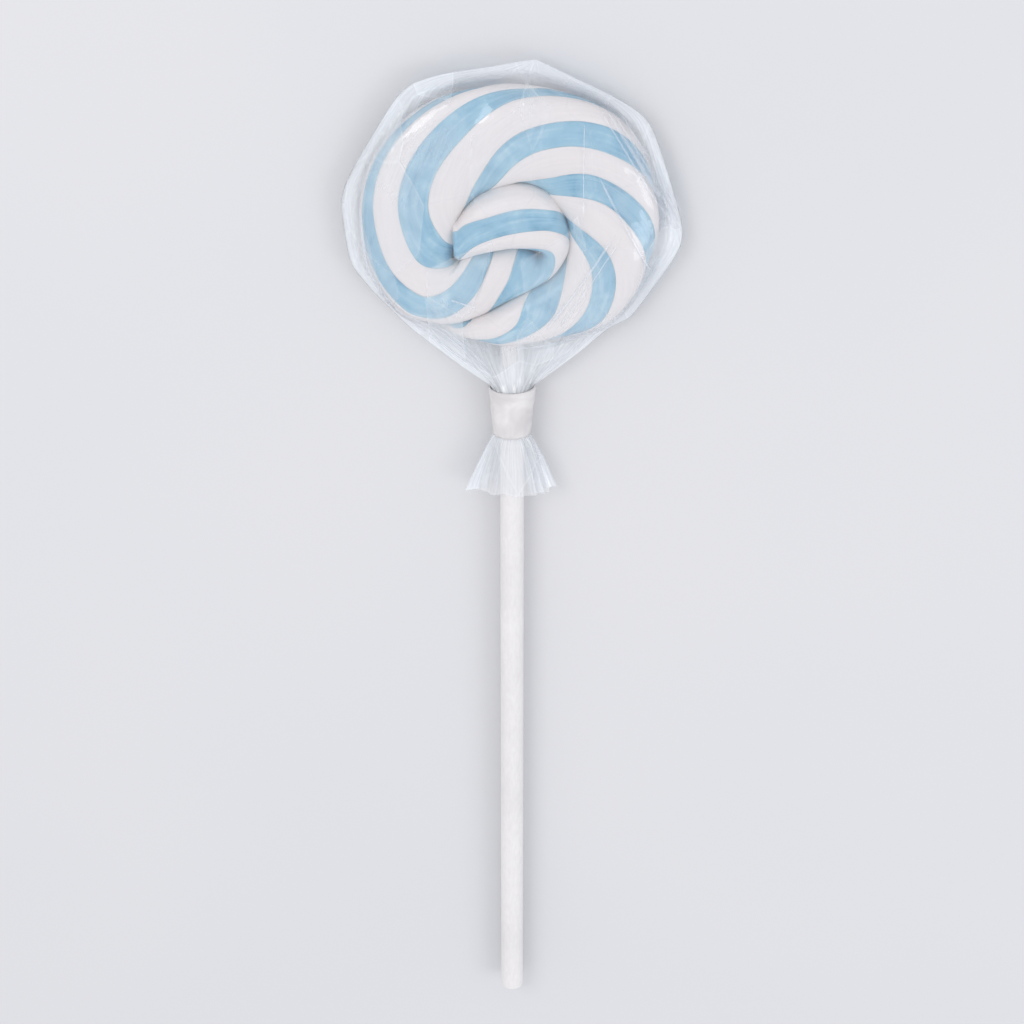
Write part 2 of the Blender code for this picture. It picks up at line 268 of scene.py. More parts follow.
# %% Inner edge of the coil
def inner_point(bearing):
    """Inner end of the fan line at one bearing."""
    if bearing < HOOK:
        share = (bearing - START) / (HOOK - START)
        x = HOOK_LEFT + (HOOK_RIGHT - HOOK_LEFT) * share
        return (x, slit_y(x))
    if bearing < FOLD:
        turn = math.pi * (0.5 - (bearing - HOOK) / (FOLD - HOOK))
        return (HOOK_RIGHT + FOLD_RADIUS * math.cos(turn),
                slit_y(HOOK_RIGHT) + FOLD_RADIUS * (math.sin(turn) - 1))
    if bearing < RETURN:
        x = HOOK_RIGHT + (HOOK_LEFT - HOOK_RIGHT) * (bearing - FOLD) / (RETURN - FOLD)
        opening = 2 * FOLD_RADIUS * math.exp((x - HOOK_RIGHT) / PIT_FADE)
        return (x, slit_y(x) - opening + FUSE * (x < HOOK_RIGHT - PIT_REACH))
    if bearing < BLUNT:
        turn = math.pi * (1.5 - 0.5 * (bearing - RETURN) / (BLUNT - RETURN))
        return (HOOK_LEFT + CORNER_GAP * math.cos(turn),
                slit_y(HOOK_LEFT) + CORNER_GAP * math.sin(turn))
    top = at_bearing(START, float(edge(START)) - FUSE)
    if bearing < CORNER:
        share = (bearing - BLUNT) / (CORNER - BLUNT)
        low = slit_y(HOOK_LEFT)
        return (HOOK_LEFT - CORNER_GAP + (top[0] - HOOK_LEFT + CORNER_GAP) * share,
                low + (top[1] - low) * share)
    if bearing < ROUND:
        start = START + 360
        bearing = start + (ROUND - start) * (bearing - CORNER) / (ROUND - CORNER)
    return tuple(at_bearing(bearing, float(edge(bearing - 360)) - FUSE))


# %% Slices of the rope
bearings = np.arange(START, TAIL + SLICE / 2, SLICE)
outer = at_bearing(bearings, edge(bearings))
inner = softened_line([inner_point(bearing) for bearing in bearings], INNER_SOFT)
middle = (outer + inner) / 2
half = np.linalg.norm(outer - inner, axis=1) / 2
across = (outer - middle) / half[:, None]
height = through(HEIGHT, bearings)
along = np.concatenate(([0], np.cumsum(np.linalg.norm(np.diff(middle, axis=0), axis=1))))
print("rope:", len(bearings), "slices,", round(along[-1]), "mm long on its centre line")

# %% [markdown]
# ## The twist
# Eight strands, white and blue by turns, spiral round the rope. Twist says how far they have
# turned at each slice. On the inner side of a bend the strands lag behind, because the sugar is
# pressed against the turn inside it there, which is what draws the long comma shapes of a swirl.

# %% Twist and strands
# bearings, each with degrees: how far the strands have turned, and how far they lag behind
TWIST = [(4, -208), (25, -205), (60, -204), (104, -196), (140, -180), (167, -159), (199, -136),
         (229, -124), (250, -112), (262, -107), (270, -105), (277, -100), (284, -75), (290, -44),
         (298, -22), (308, -3), (326, 13), (342, 27), (358, 43), (372, 58), (394, 75),
         (410, 88), (426, 105), (440, 130), (454, 158), (480, 193), (500, 222), (520, 256),
         (545, 300), (565, 338), (586, 366), (603, 393), (621, 426), (636, 458), (655, 505)]
INNER_LAG = [(4, 50), (20, 22), (40, -1), (62, -12), (120, -4), (175, 34), (225, 72), (250, 84),
             (285, 85), (308, 80), (326, 60), (358, 14), (394, -26), (424, -32), (454, -8),
             (500, 22), (545, 23), (575, 18), (603, 44), (630, 74), (655, 82)]
OUTER_LAG = [(4, -66), (25, -42), (60, -12), (104, 2), (140, 6), (167, -11), (199, -39),
             (235, -61), (262, -66), (292, -50), (326, -12), (370, 27), (410, 38), (450, 35),
             (500, 33), (545, 6), (586, -5), (612, 5), (630, 14), (650, 10)]
RIBBONS = [(-5, 53), (88, 128), (170, 230), (274, 317)]     # strand angles of the white
TIPS = [(350, 160, 6, 28, 20), (492, 160, 9, 32, 11)]   # bearing, turn, their spreads, and lag
TURN = np.arange(-90.0, 271.0)      # degrees round a section, from under it over its top
twist = softened(through(TWIST, bearings), 3.0)         # the last number softens the knots
inner_lag = softened(through(INNER_LAG, bearings), 6.0)
outer_lag = softened(through(OUTER_LAG, bearings), 8.0)
inner_side = softened(np.clip(1 - np.abs(TURN - 180) / 90, 0, 1), 9.0)
outer_side = softened(np.clip(1 - np.abs(TURN) / 90, 0, 1), 9.0)
print("the strands turn", round((twist[-1] - twist[0]) / 360, 1), "times along the rope")

# %% [markdown]
# ## Finer slices where the strands turn fast
# Beside the fold the strands turn a quarter of the way round the rope within a few slices. Even
# slices would draw their borders there with a jagged edge. So extra slices go in on a few stretches,
# and all that is known for each slice is read again at the new places.

# %% Finer slices
# from one bearing to another, and the degrees between slices there
FINE = [(270, 300, 0.3), (302, 312, 0.5), (470, 500, 0.75), (590, 650, 0.75)]
extra = [np.arange(low, high, step) for low, high, step in FINE]
slices = np.unique(np.round(np.concatenate([bearings] + extra), 3))


def at_slices(values):
    """Values of the even slices, read at all the slices."""
    columns = np.reshape(values, (len(bearings), -1)).T
    finer = np.stack([np.interp(slices, bearings, column) for column in columns], axis=1)
    return finer.reshape((len(slices),) + np.shape(values)[1:])


middle, across, half = [at_slices(values) for values in (middle, across, half)]
height, along = [at_slices(values) for values in (height, along)]
twist, inner_lag, outer_lag = [at_slices(values) for values in (twist, inner_lag, outer_lag)]
across = across / np.linalg.norm(across, axis=1)[:, None]
bearings = slices
print("slices after the finer spacing:", len(bearings))

# %% [markdown]
# ## From strand to surface
# A strand angle says which colour lies at a place. For each slice the angle round the section is
# solved so that a strand's edges are exact curves. The section itself is a rounded box that is a
# little fuller below, where the warm rope was pressed on a table.

# %% Strands round a slice
def strand_angles(i):
    """Strand angle at each degree round slice i. It always grows."""
    angles = TURN + twist[i] - inner_lag[i] * inner_side - outer_lag[i] * outer_side
    for bearing, turn, wide, high, tip_lag in TIPS:
        angles -= tip_lag * np.exp(-((bearings[i] - bearing) / wide) ** 2
                                   - ((TURN - turn) / high) ** 2)
    return angles


def turn_of(i, strand):
    """Degrees round the section where a strand angle lies, on whichever lap it is."""
    angles = strand_angles(i)
    laps = np.floor((strand - angles[0]) / 360)
    return np.interp(strand - 360 * laps, angles, TURN) + 360 * laps


# %% Section of the rope
UNDER_FULL = 1.18           # how much fuller the underside is
# slow swells of the surface, each with its turn along x and y, its start and its share
SWELLS = [(0.61, 0.35, 0.7, 1.0), (0.28, -0.53, 2.1, 1.0), (0.83, -0.21, 4.0, 0.6)]
SWELL_HIGH = 0.06
SWELL_FULL = 8.0            # height above the table from which the swells are full


def profile(turn, i, proud=0.0):
    """Points of section i: distance from its middle and height, raised by proud."""
    side, over = np.cos(np.radians(turn)), np.sin(np.radians(turn))
    round_off = (np.abs(side) ** SECTION_POWER + np.abs(over) ** SECTION_POWER) ** (
        1 / SECTION_POWER)
    side, over = side / round_off, over / round_off
    over = np.where(over < 0, over * UNDER_FULL, over)
    wide, high = half[i], height[i] / 2
    x, z = wide * side, high * (1 + over)
    core = max(0.0, wide - high)
    aim = np.clip(x, -core, core)
    reach = np.maximum(np.hypot(x - aim, z - high), 1e-6)
    x = x + proud * (x - aim) / reach
    z = z + proud * (z - high) / reach
    return x, np.maximum(z, 0.0)


def uneven(x, y, z):
    """Pulled sugar is never quite even: a slow rise and fall of about 0.1 mm on top."""
    wave = sum(share * np.sin(per_x * x + per_y * y + start)
               for per_x, per_y, start, share in SWELLS)
    return z + SWELL_HIGH * wave * np.clip(z / SWELL_FULL, 0, 1)


def placed(x, z, slice_number):
    """Section points as points in the object, in millimetres."""
    flat = middle[slice_number] + across[slice_number] * np.asarray(x)[:, None]
    return np.column_stack([flat, uneven(flat[:, 0], flat[:, 1], np.asarray(z))])


# %% [markdown]
# ## The blue body
# Real rope is one lump of clear blue sugar with white ribbons laid along it. So the blue piece is
# the whole rope, a closed loft, a little hollow between the ribbons where the clear sugar sank as it
# cooled. Its two ends are rounded over by extra slices, as the blunt cut end of the hook is.

# %% Rounded ends
END_ROUND = 1.2             # radius of the rounded ends
END_STEPS = 6


def end_slices(points, i, sign):
    """Copies of end slice i that shrink about the rope's own middle as they move out."""
    centre = np.array([*middle[i], height[i] / 2])
    x, y = across[i]
    outwards = np.array([y, -x, 0.0]) * sign
    result = []
    for step in range(1, END_STEPS + 1):
        angle = math.pi / 2 * step / END_STEPS
        shrink = 1 - END_ROUND / (height[i] / 2) * (1 - math.cos(angle))
        moved = centre + (points - centre) * shrink + outwards * END_ROUND * math.sin(angle)
        moved[:, 2] = np.maximum(moved[:, 2], 0.0)
        result.append(moved)
    return result


def rope_piece(name, rows, grain):
    """Closed piece along the rope, from a row of points and of grain for each slice."""
    first, last = end_slices(rows[0], 0, -1), end_slices(rows[-1], len(bearings) - 1, 1)
    thing = outward(loft(name, first[::-1] + rows + last))
    across_it = np.pad(np.array(grain), ((END_STEPS, END_STEPS), (0, 0)), mode="edge")
    along_it = np.pad(along, END_STEPS, mode="edge")[:, None]
    note_grain(thing, across_it, along_it)
    return thing


# %% Blue rope
BLUE_POINTS = 132
BLUE_SAG = 0.16             # how far the blue lies below the ribbons' edges
DEGREE = 0.19               # a degree of strand is about so many millimetres across


def blue_share(strand):
    """0 at a ribbon's edges, up to 1 along the middle of the blue between two ribbons."""
    share = np.zeros_like(strand)
    for (_, end), (start, _) in zip(RIBBONS, RIBBONS[1:] + [(RIBBONS[0][0] + 360, 0)]):
        place = np.mod(strand - end, 360) / (start - end)
        share += np.where(place < 1, np.sin(np.pi * np.minimum(place, 1)), 0.0)
    return share


def blue_rope():
    turns = np.linspace(-90, 270, BLUE_POINTS, endpoint=False)
    rows, grain = [], []
    for i in range(len(bearings)):
        strand = np.interp(turns, TURN, strand_angles(i))
        x, z = profile(turns, i, -BLUE_SAG * blue_share(strand))
        rows.append(placed(x, z, i))
        grain.append(strand * DEGREE)
    return rope_piece("candy_blue_rope", rows, grain)


blue_piece = blue_rope()
print("blue rope:", len(blue_piece.data.vertices), "points")


# %% [markdown]
# ## The white ribbons
# Each white ribbon is its own closed strip, sunk into the blue and standing about half a millimetre
# proud, with rounded shoulders. Its edges follow two strand angles exactly, so the border between
# the colours is real geometry and stays crisp from every side.

# %% White ribbons
RIBBON_COLUMNS = 34
RIBBON_PROUD = 0.46         # how far its middle stands out of the blue
RIBBON_LIFT = 0.03          # how far its edges do
RIBBON_DEPTH = 0.95
RIBBON_FOOT = 0.1           # lowest that the ribbon's sunk side may reach
SHOULDER_POWER = 2.4        # 2 would be a round back, more is flatter
FULL_HALF = 8.0             # a rope half this wide carries full ribbons
RIBBON_WIDE = 8.5           # a usual ribbon, for the scale of its threads
THREADS_APART = 20.0        # moves each ribbon's threads to another part of the pattern


def white_ribbon(stripe):
    over = np.linspace(0, 1, RIBBON_COLUMNS)
    under = np.array([0.97, 0.75, 0.5, 0.25, 0.03])
    shoulder = 1 - np.abs(2 * over - 1) ** SHOULDER_POWER
    rows = []
    for i in range(len(bearings)):
        low, high = [turn_of(i, strand) for strand in RIBBONS[stripe]]
        if high < low:
            high += 360
        full = min(1.0, half[i] / FULL_HALF)
        proud = RIBBON_LIFT + RIBBON_PROUD * full * shoulder
        x, z = profile(low + (high - low) * over, i, proud)
        sunk_x, sunk_z = profile(low + (high - low) * under, i, -RIBBON_DEPTH * full)
        sunk_z = np.maximum(sunk_z, RIBBON_FOOT)
        rows.append(placed(np.concatenate((x, sunk_x)), np.concatenate((z, sunk_z)), i))
    grain = np.concatenate((over, under)) * RIBBON_WIDE + THREADS_APART * stripe
    return rope_piece("candy_white_ribbon_%d" % (stripe + 1), rows, [grain] * len(rows))


white_pieces = [white_ribbon(stripe) for stripe in range(len(RIBBONS))]
print("white ribbons:", [len(piece.data.vertices) for piece in white_pieces], "points")


# %% [markdown]
# ## Sugar
# Boiled sugar is a glass: smooth, glossy, with an index of refraction near 1.5. The blue is clear
# enough for light to wander in it, so it gets subsurface scattering, deep streaks along the strands
# and cloudy patches. The white is the same sugar, pulled until it is full of fine air threads: it is
# opaque and satin, and the threads show as very faint lines along the ribbon. Each piece hides the
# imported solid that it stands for, which stays behind for the physics.

# %% Blue sugar
STREAK_WIDE, STREAK_LONG = 2.22, 22.2       # streaks along the strands
CLOUD_WIDE = 10.53          # cloudy patches
BUBBLE_APART = 1.11         # specks of trapped air


def boiled_blue_sugar():
    """Clear blue sugar, boiled and twisted: glassy, with streaks a millimetre or two wide."""
    made, tree = new_material("boiled_blue_sugar")
    grain = add(tree, "Attribute", attribute_name="grain").outputs["Vector"]
    along_strand = add(tree, "Mapping", {
        "Vector": grain, "Scale": (1 / STREAK_WIDE, 1 / STREAK_LONG, 1.0)})
    streak = add(tree, "TexNoise", {"Vector": along_strand, "Scale": 1.0, "Detail": 4.0,
                                    "Roughness": 0.62, "Distortion": 0.6})
    place = add(tree, "TexCoord").outputs["Object"]
    cloud = add(tree, "TexNoise", {"Vector": place, "Scale": per_metre(CLOUD_WIDE),
                                   "Detail": 3.0, "Roughness": 0.55, "Distortion": 1.2})
    both = add(tree, "Math", {0: streak, 1: cloud}, operation="ADD")
    mean = add(tree, "Math", {0: both, 1: 0.5}, operation="MULTIPLY")
    tint = add(tree, "ValToRGB", {"Fac": mean}, stops=[
        (0.35, "#659bb9"), (0.44, "#83b2c9"), (0.53, "#92bcd0"), (0.65, "#b0cedb")])
    speck = add(tree, "TexVoronoi", {"Vector": place, "Scale": per_metre(BUBBLE_APART)})
    bubble = add(tree, "MapRange", {"Value": speck, "From Min": 0.10, "From Max": 0.04,
                                    "To Min": 0.0, "To Max": 0.16})
    # a colour mix keeps its factor in socket 0, its colours in 6 and 7, and its result in 2
    colour = add(tree, "Mix", {0: bubble, 6: tint.outputs[0], 7: linear("#ccdbe3")},
                 data_type="RGBA")
    ripple = add(tree, "Bump", {"Height": mean, "Strength": 0.10, "Distance": 0.4 * MM})
    shader = add(tree, "BsdfPrincipled", {
        "Base Color": colour.outputs[2], "Roughness": 0.20, "IOR": 1.5,
        "Subsurface Weight": 0.35, "Subsurface Radius": (0.5, 0.9, 1.3),
        "Subsurface Scale": 1.2 * MM, "Normal": ripple})
    return finished(made, shader)


dress(blue_piece, boiled_blue_sugar(), "blue_sugar", "blue_rope")


# %% White sugar
THREAD_WIDE, THREAD_LONG = 0.77, 20.0       # real threads are finer, and would not show


def pulled_white_sugar():
    """White sugar, pulled: opaque and satin, with faint threads along the ribbon."""
    made, tree = new_material("pulled_white_sugar")
    grain = add(tree, "Attribute", attribute_name="grain").outputs["Vector"]
    along_ribbon = add(tree, "Mapping", {
        "Vector": grain, "Scale": (1 / THREAD_WIDE, 1 / THREAD_LONG, 1.0)})
    thread = add(tree, "TexNoise", {"Vector": along_ribbon, "Scale": 1.0, "Detail": 3.0,
                                    "Roughness": 0.6})
    tint = add(tree, "ValToRGB", {"Fac": thread}, stops=[(0.30, "#dad7d7"), (0.65, "#dfdcdb")])
    ripple = add(tree, "Bump", {"Height": thread, "Strength": 0.03, "Distance": 0.3 * MM})
    gloss = add(tree, "MapRange", {"Value": thread, "To Min": 0.30, "To Max": 0.42})
    shader = add(tree, "BsdfPrincipled", {
        "Base Color": tint, "Roughness": gloss, "IOR": 1.5, "Subsurface Weight": 0.20,
        "Subsurface Radius": (1.0, 0.9, 0.85), "Subsurface Scale": 0.3 * MM, "Normal": ripple})
    return finished(made, shader)


white_sugar = pulled_white_sugar()
for stripe, piece in enumerate(white_pieces):
    dress(piece, white_sugar, "white_sugar", "white_stripe_%d" % (stripe + 1))

# %% [markdown]
# ## The bag's outline
# The bag is one sheet of clear film, welded flat along its free edge and gathered at the bottom. Its
# outline is a soft polygon, because stiff film pulls straight between its corners. Two chains of
# corners run from the top of the bag down its left and right side to the neck, and matching places
# on the two chains are joined by rows. Neck and skirt follow as rings round the stick.

# %% Sizes of the film, tape and stick
stick_low, stick_high = [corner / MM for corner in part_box("stick")]
band_low, band_high = [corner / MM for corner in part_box("tape_band")]
STICK_Z = (stick_low.z + stick_high.z) / 2
STICK_RADIUS, STICK_TOP, STICK_FOOT = stick_high.x, stick_high.y, stick_low.y
NECK_Y, BAND_END_Y = band_high.y, band_low.y
SKIRT_END_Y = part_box("wrapper")[0].y / MM
NECK_WIDE, NECK_HIGH = 5.0, 4.2     # half the gathered film's width and height above the tape
BAND_WIDE, BAND_HIGH = 3.9, 3.8     # and below it
print("stick:", round(2 * STICK_RADIUS, 1), "mm thick, its middle", round(STICK_Z, 1), "mm up")


def neck_size(share):
    """Half width, half height and place of the gathered film, 0 above the tape to 1 below it."""
    return [above + (below - above) * share for above, below in
            ((NECK_WIDE, BAND_WIDE), (NECK_HIGH, BAND_HIGH), (NECK_Y, BAND_END_Y))]


# %% Outline of the bag
TOP_CORNER = (98, 40.0)     # bearing, and distance from the head's middle
LEFT_CORNERS = [(54, 42.2), (9, 41.4), (-17, 40.6), (-46, 37.6)]
RIGHT_CORNERS = [(141, 41.2), (187, 42.0), (221, 38.6), (230, 36.8)]
SIDE_BULGE = 0.06           # a side bows in by this share of its length
SIDE_POINTS = 60
SIDE_SOFT = 7.0             # corners are rounded over so many points
BAG_ROWS = 190
FRONT_COLUMNS = 170
BACK_COLUMNS = 60


def side_chain(corners, side):
    """Evenly spaced points from the top corner of the bag down one side to the neck."""
    points = [at_bearing(*corner) for corner in [TOP_CORNER] + corners]
    points = np.array(points + [(side * NECK_WIDE, NECK_Y)])
    rough = []
    share = np.linspace(0, 1, SIDE_POINTS, endpoint=False)[:, None]
    for a, b in zip(points, points[1:]):
        bulge = SIDE_BULGE * np.array([b[1] - a[1], a[0] - b[0]]) * side
        rough.append(a + (b - a) * share - bulge * share * (1 - share))
    rough = softened_line(np.concatenate(rough + [points[-1:]]), SIDE_SOFT)
    rough[0], rough[-1] = points[0], points[-1]
    run = np.concatenate(([0], np.cumsum(np.linalg.norm(np.diff(rough, axis=0), axis=1))))
    even = np.linspace(0, run[-1], BAG_ROWS)
    return np.stack([np.interp(even, run, column) for column in rough.T], axis=1)


left_chain = side_chain(LEFT_CORNERS, -1)
right_chain = side_chain(RIGHT_CORNERS, 1)
print("bag outline:", round(float(left_chain[:, 0].min()), 1), "to",
      round(float(right_chain[:, 0].max()), 1), "mm across")

# %% [markdown]
# ## Film stretched over candy
# Tight film touches only the high places and spans the creases between them, like a drum skin over
# pebbles. A grid of heights finds that shape: each point takes the mean of its neighbours again and
# again, but is never let below the candy. The welded margin and the neck hold the edges.

# %% Heights of the candy
PITCH = 0.6                 # grid spacing
GRID_SIDE, GRID_TOP = 45.0, 43.5
FAR = 99.0                  # stands for no candy here
HEAD_FOOT = -30.0           # below this y the film lies on the bare stick
grid_x = np.arange(-GRID_SIDE, GRID_SIDE + PITCH / 2, PITCH)
grid_y = np.arange(NECK_Y, GRID_TOP, PITCH)
mesh_x, mesh_y = np.meshgrid(grid_x, grid_y, indexing="ij")
print("grid of", mesh_x.shape, "heights")


def points_of(thing):
    """All points of a piece, in millimetres."""
    flat = np.empty(len(thing.data.vertices) * 3, np.float32)
    thing.data.vertices.foreach_get("co", flat)
    return flat.reshape(-1, 3) / MM


def candy_limit(choose, side):
    """Highest or lowest point of candy and stick in and around each grid cell."""
    cloud = np.concatenate([points_of(piece) for piece in [blue_piece] + white_pieces])
    i = np.rint((cloud[:, 0] - grid_x[0]) / PITCH).astype(int)
    j = np.rint((cloud[:, 1] - grid_y[0]) / PITCH).astype(int)
    field = np.full(mesh_x.shape, -side * FAR)
    choose.at(field, (i, j), cloud[:, 2])
    padded = np.pad(field, 1, mode="edge")
    wide, long = field.shape
    field = choose.reduce([padded[a:a + wide, b:b + long] for a in range(3) for b in range(3)])
    stick = STICK_Z + side * np.sqrt(np.clip(STICK_RADIUS ** 2 - mesh_x ** 2, 0, None))
    beside = (np.abs(mesh_x) < STICK_RADIUS) & (mesh_y < HEAD_FOOT)
    return np.where(beside, choose(field, stick), field)


# %% Stretch the film
WELD = 3.2                  # width of the flat welded margin
WELD_END, WELD_FADE, WELD_LEAST = -36.0, 8.0, 0.15      # it narrows just above the neck
SKIN = 0.14                 # film stands this far off the candy's face
FILM_UNDER = 0.04           # the back film is pressed flat against the candy
ROUNDS = 2600


def inside_weld():
    """Grid cells that lie inside the bag's welded margin."""
    outline = np.concatenate([left_chain, right_chain[::-1]])
    crossings = np.zeros(mesh_x.shape, int)
    nearest = np.full(mesh_x.shape, FAR)
    for (ax, ay), (bx, by) in zip(outline, np.roll(outline, -1, axis=0)):
        run_x, run_y = bx - ax, by - ay
        square = run_x ** 2 + run_y ** 2
        if square == 0:
            continue
        if run_y != 0:
            over = (ay > mesh_y) != (by > mesh_y)
            crossings += over & (mesh_x < run_x * (mesh_y - ay) / run_y + ax)
        share = np.clip(((mesh_x - ax) * run_x + (mesh_y - ay) * run_y) / square, 0, 1)
        gap = np.hypot(mesh_x - ax - share * run_x, mesh_y - ay - share * run_y)
        nearest = np.minimum(nearest, gap)
    margin = WELD * np.clip((mesh_y - WELD_END) / WELD_FADE, WELD_LEAST, 1)
    return (crossings % 2 == 1) & (nearest > margin)


def stretched(limit, keep, choose, side):
    """Relaxes a sheet of heights that may not pass the limit."""
    sheet = np.where(keep, choose(limit, STICK_Z), STICK_Z)
    neck = NECK_HIGH * np.sqrt(np.clip(1 - (grid_x / NECK_WIDE) ** 2, 0, None))
    for _ in range(ROUNDS):
        sheet[:, 0] = STICK_Z + side * neck
        mean = sheet.copy()
        mean[1:-1, 1:-1] = (sheet[:-2, 1:-1] + sheet[2:, 1:-1]
                            + sheet[1:-1, :-2] + sheet[1:-1, 2:]) / 4
        sheet = np.where(keep, choose(mean, limit), sheet)
    return sheet


keep = inside_weld()
candy_top = candy_limit(np.maximum, 1) + SKIN
front_sheet = stretched(candy_top, keep, np.maximum, 1)
back_sheet = stretched(candy_limit(np.minimum, -1) - FILM_UNDER, keep, np.minimum, -1)
print("film over the face is", round(float(front_sheet.max()), 1), "mm up at most")


def read_grid(field, x, y):
    """Height of a sheet at any place, between the grid points."""
    i = np.clip((x - grid_x[0]) / PITCH, 0, len(grid_x) - 1.001)
    j = np.clip((y - grid_y[0]) / PITCH, 0, len(grid_y) - 1.001)
    i0, j0 = i.astype(int), j.astype(int)
    s, t = i - i0, j - j0
    return (field[i0, j0] * (1 - s) * (1 - t) + field[i0 + 1, j0] * s * (1 - t)
            + field[i0, j0 + 1] * (1 - s) * t + field[i0 + 1, j0 + 1] * s * t)


# %% [markdown]
# ## The film bag
# With the heights known, the bag is a single loft: every row runs across the front and back again
# behind. Pleats start as faint ripples on the lower face and deepen towards the neck, because the
# same width of film has less and less room. Below the tape the film springs open into a skirt.

# %% Film over the head
CONE_TOP = -22.0            # y where the film starts to gather towards the neck
GATHER_POWER, DEPTH_POWER = 1.5, 1.3    # more than 1 lets gathers and pleats start softly
PLEAT_COUNT, PLEAT_DEPTH = 9, 0.40
FILM_OFF = 0.04             # the film lies this far off its grid
FILM_CLEAR = 0.10           # and its pleats stay this far above the candy's grid
WAVE_HIGH = 0.35            # slow waves in the loose margin
LOOSE_WITHIN = 1.2          # film this near to the weld's level is loose


def pleats(u, count, phase):
    """Folds across the film, from -1 to 1: a zigzag whose spacing and depth drift unevenly."""
    drift = 0.55 * np.sin(7.1 * u + phase) + 0.35 * np.sin(15.7 * u + 2 * phase)
    zigzag = 2 / np.pi * np.arcsin(0.96 * np.sin(2 * np.pi * (count * u + drift)))
    return zigzag * (0.65 + 0.35 * np.sin(11.0 * u + 3 * phase))


def cone_share(y):
    """0 on the head, growing to 1 at the neck."""
    return np.clip((CONE_TOP - y) / (CONE_TOP - NECK_Y), 0, 1)


def film_row(k, u, sheet, side):
    """Points of one row of the bag, on its front or its back."""
    a, b = left_chain[k], right_chain[k]
    share = cone_share((a[1] + b[1]) / 2) ** GATHER_POWER
    place = u * (1 - share) + (1 - np.cos(np.pi * u)) / 2 * share
    x = a[0] + (b[0] - a[0]) * place
    y = a[1] + (b[1] - a[1]) * place
    z = read_grid(sheet, x, y) + side * FILM_OFF
    wave = WAVE_HIGH * np.sin(0.31 * x + 0.9 * np.sin(0.17 * y)) * np.sin(0.27 * y + 1.0)
    loose = np.exp(-((z - STICK_Z) / LOOSE_WITHIN) ** 2) * (1 - share)
    fold = pleats(u, PLEAT_COUNT, 1.3) * np.sin(np.pi * u) ** 0.5
    z = z + wave * loose + side * PLEAT_DEPTH * cone_share(y) ** DEPTH_POWER * fold
    if side > 0:
        z = np.maximum(z, read_grid(candy_top, x, y) + FILM_CLEAR)
    return np.column_stack([x, y, np.maximum(z, -FILM_UNDER)])


# %% Neck, skirt and the whole bag
NECK_ROWS = 11
RING_COUNT = 6              # pleats across one side of a ring
NECK_PLEATS = 0.05          # their depth, as a share of the ring
SKIRT_ROWS = 25
SKIRT_WIDE, SKIRT_HIGH = 10.2, 4.6      # half the skirt's width and height at its hem
SKIRT_POWER = 0.75          # less than 1 lets the skirt flare early
SKIRT_PLEATS = 0.25
HEM_WAVE = 0.55
RING_FLOOR = 0.05           # the rings stay this far above the table
GRAIN_WIDE, GRAIN_ROW = 60.0, 0.6       # the stretch lines' sheet, across and for each row


def neck_ring(u, y, wide, high, depth, hem_wave=0.0):
    """One ring round the stick. u runs once round it, from the left over the front."""
    turn = np.pi * (1 - 2 * u)
    fold = 1 + depth * pleats(2 * u, RING_COUNT, 0.4)
    x = wide * np.cos(turn) * fold
    z = STICK_Z + high * np.sin(turn) * fold
    uneven_y = y + hem_wave * (np.sin(3 * turn + 0.5) + 0.6 * np.sin(8 * turn))
    return np.column_stack([x, uneven_y, np.maximum(z, RING_FLOOR)])


def film_bag():
    front = np.linspace(0, 1, FRONT_COLUMNS, endpoint=False)
    back = np.linspace(1, 0, BACK_COLUMNS, endpoint=False)
    u = np.concatenate([front / 2, 1 - back / 2])
    rows = [np.concatenate([film_row(k, front, front_sheet, 1),
                            film_row(k, back, back_sheet, -1)]) for k in range(BAG_ROWS)]
    for share in np.arange(1, NECK_ROWS + 1) / NECK_ROWS:
        wide, high, y = neck_size(share)
        rows.append(neck_ring(u, y, wide, high, NECK_PLEATS))
    for share in np.arange(1, SKIRT_ROWS + 1) / SKIRT_ROWS:
        flare = share ** SKIRT_POWER
        wide = BAND_WIDE + (SKIRT_WIDE - BAND_WIDE) * flare
        high = BAND_HIGH + (SKIRT_HIGH - BAND_HIGH) * flare
        depth = NECK_PLEATS + (SKIRT_PLEATS - NECK_PLEATS) * flare
        y = BAND_END_Y + (SKIRT_END_Y - BAND_END_Y) * share
        rows.append(neck_ring(u, y, wide, high, depth, HEM_WAVE * share))
    thing = loft("film_bag", rows, caps=False)
    note_grain(thing, u * GRAIN_WIDE, np.arange(len(rows))[:, None] * GRAIN_ROW)
    note_haze_and_painted_light(thing, film_haze_and_painted_light(np.array(rows)))
    return thing


# %% [markdown]
# ## Creases in the film
# Where the film was folded it keeps a crease, which shows as a thin pale line. On the real bag that
# is a narrow fold of doubled film. So each crease is a low strip with round shoulders, laid on the
# film along a soft line and fading out at both ends. Sheaves of them run to the bag's corners.

